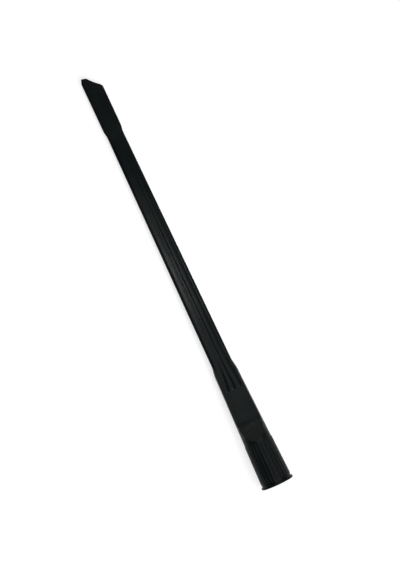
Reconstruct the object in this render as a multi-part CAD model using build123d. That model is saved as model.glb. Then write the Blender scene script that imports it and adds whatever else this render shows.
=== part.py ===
# Flexible crevice tool: one hollow plastic moulding that lies along X.
# The socket mouth is centred on the origin and the nose is at +X. The flat fluted faces look up and
# down (Z), and the long side of the slanted mouth is on +Y.
from build123d import *
from math import cos, pi, radians, tan
import os

# Driving dimensions, in millimetres and degrees

wall = 1.8  # of the handle's flats, the blade and the head

# Socket and flange
socket_diameter = 32.0  # takes a 32 mm wand
socket_depth = 50.0
stop_ledge = 1.0  # step all round that the wand's end meets
flange_diameter = 42.0
flange_thickness = 3.0
flange_crown = 0.6  # how far the rounded rim bulges

# Handle: a cone with one flat scooped into each face
cuff_diameter = 38.6  # the cone at the flange face
handle_end_diameter = 30.1
handle_length = 151.0
shoulder_length = 28.0  # the handle's end fades into the blade over this length
shoulder_blend = 45.0  # radius where the shoulder starts
flat_thickness = 12.3  # across the two flats
scoop_start = 58.8  # where the scoop leaves the round cuff
scoop_angle = 26.6
scoop_blend = 40.0  # radius between the scoop and the flat

# Grip ribs round the cuff
grip_count = 30
grip_start = 6.0
grip_end = 57.0
grip_rib_width = 2.0
grip_rib_height = 0.35

# Blade: a rounded strip that tapers towards the head
blade_end = 470.7
blade_root_width = 26.4
blade_end_width = 21.05
blade_root_thickness = 12.0
blade_end_thickness = 9.8
blade_rounding = 3.2

# Head and slanted mouth
overall_length = 550.0
flare_length = 11.0
head_width = 23.5
head_thickness = 10.2
mouth_angle = 45.0
mouth_hollow = 0.8  # how far the slanted edge bows in
mouth_corner_radius = 12.0
nose_width = 6.1  # blunt end of the nose
nose_offset = 3.3  # from the axis to the nose's inner corner
nose_fall = 1.6  # how far back that corner lies
nose_chamfer_length = 6.0
nose_rounding = 1.2

# Three flutes along each face of the blade, with rounded ends on the handle
flute_start = 127.0
flute_end = 466.0
flute_fade = 40.0  # length over which the flutes run out before the head
flute_tip_depth = 0.7
flute_tip_gap = 1.1  # between the rounded ends
middle_tip_width = 7.4
middle_flute_radius = 5.0
middle_flute_depth = 0.75
side_tip_width = 6.8
side_flute_radius = 20.0
side_flute_depth = 0.5
side_root_offset = 4.0  # from the axis to a side flute's lowest line, where the shoulder ends
side_end_offset = 3.4  # the same where the flutes start to run out

# Sizes worked out from the driving dimensions

beyond = 10.0  # cutters run this far past what they cut
clearance = 0.05  # a flute runs out this far above the face
shoulder_end = handle_length + shoulder_length
socket_radius = socket_diameter / 2
cuff_radius = cuff_diameter / 2
handle_end_radius = handle_end_diameter / 2
cone_slope = (cuff_radius - handle_end_radius) / handle_length
blade_length = blade_end - handle_length
flare_end = blade_end + flare_length
head_half = head_width / 2
nose_inner = (overall_length - nose_fall, nose_offset)
nose_outer = (overall_length, nose_offset + nose_width)
chamfer_slope = (head_half - nose_outer[1]) / nose_chamfer_length
bury_share = 0.8  # the shoulder ends inside the blade, at this share of its width and thickness
rounding_share = 0.48  # the most of a thickness that a rounding takes
flare_steps = 4  # sections that shape the flare


def cone_radius(x):
    return cuff_radius - cone_slope * x


def blade_size(x):
    share = (x - handle_length) / blade_length
    width = blade_root_width + share * (blade_end_width - blade_root_width)
    thickness = blade_root_thickness + share * (blade_end_thickness - blade_root_thickness)
    return width, thickness


def section(x, width, thickness, inset):
    rounding = min(blade_rounding, rounding_share * thickness) - inset
    return Plane.YZ.offset(x) * RectangleRounded(width - 2 * inset, thickness - 2 * inset, rounding)


def vertices_at(face, x):
    return [corner for corner in face.vertices() if abs(corner.X - x) < 1e-6]


def mirrored_outline(points):
    return make_face(Polyline(*points, *[(x, -z) for x, z in reversed(points)], close=True))


# The handle's form: a turned cone with a shoulder, cut to the scooped outline seen from the side.
# The cavity uses the same form, smaller by a wall.
def handle_form(start, start_radius, end_radius, inset):
    root_width, root_thickness = blade_size(shoulder_end)
    tip_radius = bury_share * (root_width / 2 - inset)
    tip_height = bury_share * (root_thickness / 2 - inset)
    half_section = make_face(
        Polyline(
            (start, 0),
            (start, start_radius),
            (handle_length, end_radius),
            (shoulder_end, tip_radius),
            (shoulder_end, 0),
            close=True,
        )
    )
    half_section = fillet(vertices_at(half_section, handle_length), shoulder_blend)
    turned = revolve(Plane.XZ * half_section, Axis.X)
    flat = flat_thickness / 2 - inset
    slope = tan(radians(scoop_angle))
    scoop_top = cone_radius(scoop_start) - inset / cos(radians(scoop_angle))
    scoop_foot = scoop_start + (scoop_top - flat) / slope
    high = cuff_radius + beyond
    scoop_high = scoop_start - (high - scoop_top) / slope
    side = mirrored_outline(
        [
            (scoop_high, high),
            (scoop_foot, flat),
            (handle_length, flat),
            (shoulder_end, tip_height),
        ]
    )
    side = fillet(vertices_at(side, scoop_foot), scoop_blend + inset)
    cuff = mirrored_outline([(start - beyond, high), (scoop_high, high)])
    return turned & extrude(Plane.XZ * (side + cuff), high, both=True)


# The blade, its flare and the head, or with an inset the passage inside them
def blade_form(inset, end):
    root = section(handle_length, *blade_size(handle_length), inset)
    flare_sections = []
    for step in range(flare_steps + 1):
        x = blade_end + flare_length * step / flare_steps
        ease = (1 - cos(pi * step / flare_steps)) / 2
        width = blade_end_width + ease * (head_width - blade_end_width)
        thickness = blade_end_thickness + ease * (head_thickness - blade_end_thickness)
        flare_sections.append(section(x, width, thickness, inset))
    blade = loft([root, flare_sections[0]], ruled=True)
    head = extrude(flare_sections[-1], end - flare_end, dir=(1, 0, 0))
    return blade + loft(flare_sections) + head


# A flange with a rounded rim
def flange():
    rim = flange_diameter / 2
    edge = rim - flange_crown
    crown = ThreePointArc((0, edge), (flange_thickness / 2, rim), (flange_thickness, edge))
    sides = Polyline((flange_thickness, edge), (flange_thickness, 0), (0, 0), (0, edge))
    return revolve(Plane.XZ * make_face(crown + sides), Axis.X)


# Radius of a round section that shows as an arc of this width and height
def bead_radius(width, height):
    return ((width / 2) ** 2 + height**2) / (2 * height)


# One grip rib: a long bead sunk into the cuff, so that a low rounded ridge with sloped ends stands out
def grip_rib():
    radius = bead_radius(grip_rib_width, grip_rib_height)
    sunk = radius - grip_rib_height
    starts = grip_start - 2 * radius
    ends = grip_end + 2 * radius
    run = Line((starts, 0, cone_radius(starts) - sunk), (ends, 0, cone_radius(ends) - sunk))
    bead = sweep(Plane(run @ 0, z_dir=run % 0) * Circle(radius), run)
    for x, outwards in ((grip_start, -1), (grip_end, 1)):
        slope = Plane((x, 0, cone_radius(x)), z_dir=(outwards, 0, 1))
        bead = split(bead, slope, keep=Keep.BOTTOM)
    return bead


def face_height(x):
    return flat_thickness / 2 if x < handle_length else blade_size(x)[1] / 2


# A round section that cuts the upper face at x to a depth
def flute_section(x, y, radius, depth):
    return Plane.YZ.offset(x) * Pos(y, face_height(x) + radius - depth) * Circle(radius)


# One flute on the upper face, from where its rounded end meets it to where it runs out
def flute_run(tip_width, radius, depth, tip_offset, root_offset, end_offset):
    tip_x = flute_start + tip_width / 2
    sections = [
        flute_section(tip_x, tip_offset, bead_radius(tip_width, flute_tip_depth), flute_tip_depth),
        flute_section(shoulder_end, root_offset, radius, depth),
        flute_section(flute_end - flute_fade, end_offset, radius, depth),
        flute_section(flute_end, end_offset, radius, -clearance),
    ]
    return loft(sections, ruled=True)


# The rounded end of a flute: half a ball
def flute_tip(tip_width, tip_offset):
    x = flute_start + tip_width / 2
    radius = bead_radius(tip_width, flute_tip_depth)
    ball = Pos(x, tip_offset, face_height(x) + radius - flute_tip_depth) * Sphere(radius)
    return split(ball, Plane.YZ.offset(x), keep=Keep.BOTTOM)


def on_both_faces(forms):
    return forms + [mirror(form, Plane.XY) for form in forms]


# Everything past the slanted mouth, seen from above
def mouth_cutter():
    chamfer_run = (head_half + beyond - nose_outer[1]) / chamfer_slope
    chamfer_far = (overall_length - chamfer_run, head_half + beyond)
    corner = (nose_inner[0] - (head_half + nose_offset) / tan(radians(mouth_angle)), -head_half)
    corner_far = (corner[0] - 2 * beyond, -head_half - beyond / 2)
    outside = overall_length + beyond
    edge = SagittaArc(nose_inner, corner, -mouth_hollow)
    sides = Polyline(
        corner,
        corner_far,
        (corner_far[0], -head_half - beyond),
        (outside, -head_half - beyond),
        (outside, head_half + beyond),
        chamfer_far,
        nose_outer,
        nose_inner,
    )
    face = make_face(edge + sides)
    face = fillet(face.vertices().sort_by_distance(corner)[0], mouth_corner_radius)
    nose = [face.vertices().sort_by_distance(point)[0] for point in (nose_inner, nose_outer)]
    return extrude(fillet(nose, nose_rounding), head_thickness, both=True)


# The wall behind the nose's chamfer, which the passage leaves standing
def nose_wall():
    chamfer = Line((overall_length - nose_chamfer_length, head_half), nose_outer)
    block = Box(
        chamfer.length + 2 * wall, wall, head_thickness, align=(Align.CENTER, Align.MAX, Align.CENTER)
    )
    return Plane(chamfer @ 0.5, x_dir=chamfer % 0.5, z_dir=(0, 0, 1)) * block


outer = flange() + handle_form(0, cuff_radius, handle_end_radius, 0)
outer = outer + blade_form(0, overall_length + beyond)
rib = grip_rib()
grip_pitch = 360 / grip_count
outer = outer + [Rot(X=grip_pitch * (k + 0.5)) * rib for k in range(grip_count)]

side_tip_offset = middle_tip_width / 2 + flute_tip_gap + side_tip_width / 2
middle_run = flute_run(middle_tip_width, middle_flute_radius, middle_flute_depth, 0, 0, 0)
side_run = flute_run(
    side_tip_width, side_flute_radius, side_flute_depth, side_tip_offset, side_root_offset, side_end_offset
)
middle_tip = flute_tip(middle_tip_width, 0)
side_tip = flute_tip(side_tip_width, side_tip_offset)
outer = outer - on_both_faces([middle_run, side_run, mirror(side_run, Plane.XZ)])
outer = outer - on_both_faces([middle_tip, side_tip, mirror(side_tip, Plane.XZ)]) - mouth_cutter()

ledge_radius = socket_radius - stop_ledge
passage_end_radius = ledge_radius - cone_slope * (handle_length - socket_depth)
cavity = handle_form(socket_depth, ledge_radius, passage_end_radius, wall)
cavity = cavity + blade_form(wall, overall_length + 2 * beyond) - nose_wall()
socket = Plane.YZ * Cylinder(socket_radius, socket_depth, align=(Align.CENTER, Align.CENTER, Align.MIN))

tool = outer - cavity - socket

os.makedirs("parts", exist_ok=True)
export_step(tool, "parts/crevice_tool.step")
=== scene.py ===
import bmesh
import bpy
from math import radians
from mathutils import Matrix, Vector

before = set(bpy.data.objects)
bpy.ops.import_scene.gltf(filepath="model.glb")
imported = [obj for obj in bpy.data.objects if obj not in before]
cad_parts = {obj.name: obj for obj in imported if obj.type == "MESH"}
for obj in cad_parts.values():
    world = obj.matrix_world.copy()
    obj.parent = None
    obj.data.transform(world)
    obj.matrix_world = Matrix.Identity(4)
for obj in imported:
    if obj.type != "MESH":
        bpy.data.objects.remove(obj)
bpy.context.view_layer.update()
print("frame loaded:", ", ".join(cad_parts))


# small helpers for node trees

def newMaterial(name):
    mat = bpy.data.materials.new(name)
    mat.use_nodes = True
    mat.node_tree.nodes.clear()
    return mat, mat.node_tree


def addNode(tree, kind, inputs=None, **settings):
    node = tree.nodes.new(kind)
    for key, value in settings.items():
        setattr(node, key, value)
    for key, value in (inputs or {}).items():
        if isinstance(value, bpy.types.NodeSocket):
            tree.links.new(value, node.inputs[key])
        else:
            node.inputs[key].default_value = value
    return node


def addNoise(tree, place, scale, detail=3.0, stretch=(1, 1, 1)):
    mapped = addNode(tree, "ShaderNodeMapping", {"Vector": place, "Scale": stretch}).outputs[0]
    noise = addNode(tree, "ShaderNodeTexNoise", {"Vector": mapped, "Scale": scale, "Detail": detail})
    return noise.outputs["Fac"]


def addMath(tree, operation, first, second):
    return addNode(tree, "ShaderNodeMath", {0: first, 1: second}, operation=operation).outputs[0]


def spread(tree, value, low, high, toLow, toHigh):
    node = addNode(tree, "ShaderNodeMapRange", {"Value": value, "From Min": low, "From Max": high,
                                                "To Min": toLow, "To Max": toHigh})
    return node.outputs[0]


def mixColor(tree, share, first, second):
    node = addNode(tree, "ShaderNodeMix", {0: share}, data_type="RGBA")
    for socket, value in ((node.inputs[6], first), (node.inputs[7], second)):  # its colour sockets
        if isinstance(value, bpy.types.NodeSocket):
            tree.links.new(value, socket)
        else:
            socket.default_value = (*value, 1)
    return node.outputs[2]


# black moulded plastic of the tool

plasticLook = dict(
    deep=(0.0009, 0.0027, 0.0029),   # plain black, a little cool
    faded=(0.0036, 0.0055, 0.0053),  # where it is a little greyer
    worn=(0.008, 0.0088, 0.0086),    # rubbed edges
    cloudScale=24.0,                 # all noise scales are per metre
    cloudRange=(0.35, 0.65),
    streakScale=60.0,
    streakStretch=(0.08, 1, 1),      # flow marks, drawn out along the tool
    streakRange=(0.3, 0.7),
    roughness=(0.23, 0.32),
    scuffScale=900.0,
    scuffStretch=(0.025, 1, 1),      # hairline scuffs
    scuffRange=(0.60, 0.72),
    scuffRough=0.10,                 # added to the roughness
    scuffPale=0.45,                  # how far a scuff goes to the worn colour
    grainScale=2200.0,               # grains of about 0.5 mm
    grainHeight=0.00003,
    grainStrength=0.6,
    grainDetail=2.0,
    edgeRadius=0.0005,
    edgeSamples=6,
    edgeTurn=(0.99, 0.85),           # cosine of the turn at an edge, from untouched to rubbed
    rubRange=(0.4, 0.65),            # rubbed only in patches
    rubMost=0.8,
    ior=1.45,
    specular=0.075,
)


def blackPlastic():
    look = plasticLook
    mat, tree = newMaterial("blackPlastic")
    place = addNode(tree, "ShaderNodeTexCoord").outputs["Object"]
    cloud = addNoise(tree, place, look["cloudScale"])
    streak = addNoise(tree, place, look["streakScale"], stretch=look["streakStretch"])
    scuff = addNoise(tree, place, look["scuffScale"], stretch=look["scuffStretch"])
    grain = addNoise(tree, place, look["grainScale"], detail=look["grainDetail"])
    # edges: where the rounded normal leaves the face's own
    soft = addNode(tree, "ShaderNodeBevel", {"Radius": look["edgeRadius"]},
                   samples=look["edgeSamples"]).outputs[0]
    flat = addNode(tree, "ShaderNodeNewGeometry").outputs["Normal"]
    turn = addNode(tree, "ShaderNodeVectorMath", {0: soft, 1: flat}, operation="DOT_PRODUCT").outputs["Value"]
    edge = spread(tree, turn, *look["edgeTurn"], 0.0, 1.0)
    rub = addMath(tree, "MULTIPLY", edge, spread(tree, cloud, *look["rubRange"], 0.0, look["rubMost"]))
    color = mixColor(tree, spread(tree, cloud, *look["cloudRange"], 0.0, 1.0), look["deep"], look["faded"])
    scuffed = spread(tree, scuff, *look["scuffRange"], 0.0, 1.0)
    color = mixColor(tree, addMath(tree, "MULTIPLY", scuffed, look["scuffPale"]), color, look["worn"])
    color = mixColor(tree, rub, color, look["worn"])
    rough = spread(tree, streak, *look["streakRange"], *look["roughness"])
    rough = addMath(tree, "ADD", rough, addMath(tree, "MULTIPLY", scuffed, look["scuffRough"]))
    bump = addNode(tree, "ShaderNodeBump", {"Height": grain, "Normal": soft, "Distance": look["grainHeight"],
                                            "Strength": look["grainStrength"]}).outputs[0]
    shader = addNode(tree, "ShaderNodeBsdfPrincipled",
                     {"Base Color": color, "Roughness": rough, "Normal": bump, "IOR": look["ior"],
                      "Specular IOR Level": look["specular"]})
    addNode(tree, "ShaderNodeOutputMaterial", {"Surface": shader.outputs[0]})
    return mat


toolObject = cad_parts["crevice_tool"]
toolObject.data.materials.clear()
toolObject.data.materials.append(blackPlastic())
print("tool finished in black plastic")


# pale studio bowl: the tool rests on it with its flange and its nose

floorSet = dict(
    restSocket=(0.0015, -0.021),  # x and z of the flange's lowest point
    restNose=(0.549, -0.0051),    # x and z under the nose
    flatRadius=3.2,
    coveRadius=1.6,
    wallHeight=2.0,
    coveSteps=16,
    roundSteps=64,
    mergeDistance=0.0001,
    color=(0.5, 0.5, 0.5),
    glowPaintedShadeClose=0.60,   # painted shade: the glow is kept lower beside the tool, darkening the floor round it and its reflections in the tool
    glow=0.70,        # glow further out
    glowNear=0.35,    # full as far out as this, where the painted shade beside the tool ends
    glowFade=0.9,     # it starts to fade here
    glowFar=2.4,      # and is down to the walls' share here
    glowWalls=0.7,
    glowSqueeze=0.4,  # the glow's pool is drawn out along the tool
)


def studioFloor():
    look = floorSet
    (socketX, socketZ), (noseX, noseZ) = look["restSocket"], look["restNose"]
    lean = (noseZ - socketZ) / (noseX - socketX)
    middle = (socketX + noseX) / 2
    # half a section of the bowl, spun round the upright
    bm = bmesh.new()
    reach = look["flatRadius"]
    start = [bm.verts.new((0, 0, 0)), bm.verts.new((reach, 0, 0))]
    bm.edges.new(start)
    turned = bmesh.ops.spin(bm, geom=[start[1]], cent=(reach, 0, look["coveRadius"]), axis=(0, -1, 0),
                            angle=radians(90), steps=look["coveSteps"])
    last = [v for v in turned["geom_last"] if isinstance(v, bmesh.types.BMVert)]
    bmesh.ops.extrude_vert_indiv(bm, verts=last)
    bm.verts.ensure_lookup_table()
    bm.verts[-1].co.z += look["wallHeight"]
    bmesh.ops.spin(bm, geom=bm.verts[:] + bm.edges[:], cent=(0, 0, 0), axis=(0, 0, 1),
                   angle=radians(360), steps=look["roundSteps"], use_merge=True)
    bmesh.ops.remove_doubles(bm, verts=bm.verts[:], dist=look["mergeDistance"])
    bmesh.ops.recalc_face_normals(bm, faces=bm.faces[:])
    for vert in bm.verts:
        vert.co.x += middle
        vert.co.z += socketZ + lean * (vert.co.x - socketX)  # leans with the resting tool
    mesh = bpy.data.meshes.new("studioFloor")
    bm.to_mesh(mesh)
    bm.free()
    mesh.shade_smooth()
    floor = bpy.data.objects.new("studioFloor", mesh)
    bpy.context.scene.collection.objects.link(floor)
    # pale paint, with a glow that lens and gloss see and that lights nothing; the glow is lower beside the
    # tool as painted shade
    mat, tree = newMaterial("paleFloor")
    rays = addNode(tree, "ShaderNodeLightPath").outputs
    seen = addMath(tree, "MAXIMUM", rays["Is Camera Ray"], rays["Is Glossy Ray"])
    seen = addMath(tree, "MAXIMUM", seen, rays["Is Transmission Ray"])
    place = addNode(tree, "ShaderNodeTexCoord").outputs["Object"]
    squeeze = look["glowSqueeze"]
    pool = addNode(tree, "ShaderNodeMapping", {"Vector": place, "Location": (-squeeze * middle, 0, 0),
                                               "Scale": (squeeze, 1, 1)}).outputs[0]
    away = addNode(tree, "ShaderNodeVectorMath", {0: pool}, operation="LENGTH").outputs["Value"]
    # painted shade: less glow close to the tool than further out
    shadedGlowNear = spread(tree, away, 0.0, look["glowNear"], look["glowPaintedShadeClose"], look["glow"])
    far = spread(tree, away, look["glowFade"], look["glowFar"], 1.0, look["glowWalls"])
    glow = addMath(tree, "MULTIPLY", seen, addMath(tree, "MULTIPLY", shadedGlowNear, far))
    paint = addNode(tree, "ShaderNodeBsdfDiffuse", {"Color": (*look["color"], 1)})
    light = addNode(tree, "ShaderNodeEmission", {"Strength": glow})
    both = addNode(tree, "ShaderNodeAddShader", {0: paint.outputs[0], 1: light.outputs[0]})
    addNode(tree, "ShaderNodeOutputMaterial", {"Surface": both.outputs[0]})
    mesh.materials.append(mat)


studioFloor()
print("floor laid")


# studio light: a wide softbox on one side, a small one over the blade and one past each end

lightSet = dict(
    side=dict(at=(-0.30, -0.386, 1.346), aim=(-0.30, 0.0, 0.0), size=(1.4, 1.6), power=18.0),
    over=dict(at=(0.29, -0.09, 0.40), aim=(0.29, 0.0, 0.0), size=(0.03, 0.16), power=0.133, beam=85.0),
    end=dict(at=(-1.45, -0.20, 0.90), aim=(0.25, 0.0, 0.0), size=(1.6, 1.2), power=10.0),
    nose=dict(at=(1.10, -0.10, 1.11), aim=(0.10, 0.0, 0.0), size=(1.0, 0.95), power=5.3),
)


def softbox(name, at, aim, size, power, beam=180.0):
    lamp = bpy.data.lights.new(name, "AREA")
    lamp.shape = "RECTANGLE"
    lamp.size, lamp.size_y = size
    lamp.energy = power
    lamp.spread = radians(beam)  # a grid on the small one keeps its light on the blade
    box = bpy.data.objects.new(name, lamp)
    box.location = at
    box.rotation_euler = (Vector(aim) - Vector(at)).to_track_quat("-Z", "Y").to_euler()
    box.visible_camera = False
    bpy.context.scene.collection.objects.link(box)


for lampName, lampValues in lightSet.items():
    softbox(lampName + "Softbox", **lampValues)

roomLight = (0.06, 0.06, 0.06)

world = bpy.data.worlds.new("studio")
world.use_nodes = True
world.node_tree.nodes["Background"].inputs["Color"].default_value = (*roomLight, 1)
bpy.context.scene.world = world
print("lights placed")


# camera: straight down on the tool, turned so that the tool leans in the picture

cameraSet = dict(
    aim=(0.2606, -0.0164),  # x and y in the middle of the picture
    height=2.62,
    turn=-114.98,           # degrees about the upright
    lens=135.0,
)

camData = bpy.data.cameras.new("camera")
camData.lens = cameraSet["lens"]
cam = bpy.data.objects.new("camera", camData)
cam.location = (*cameraSet["aim"], cameraSet["height"])
cam.rotation_euler = (0, 0, radians(cameraSet["turn"]))
bpy.context.scene.collection.objects.link(cam)
bpy.context.scene.camera = cam
bpy.context.scene.view_settings.view_transform = "Standard"
print("camera set")
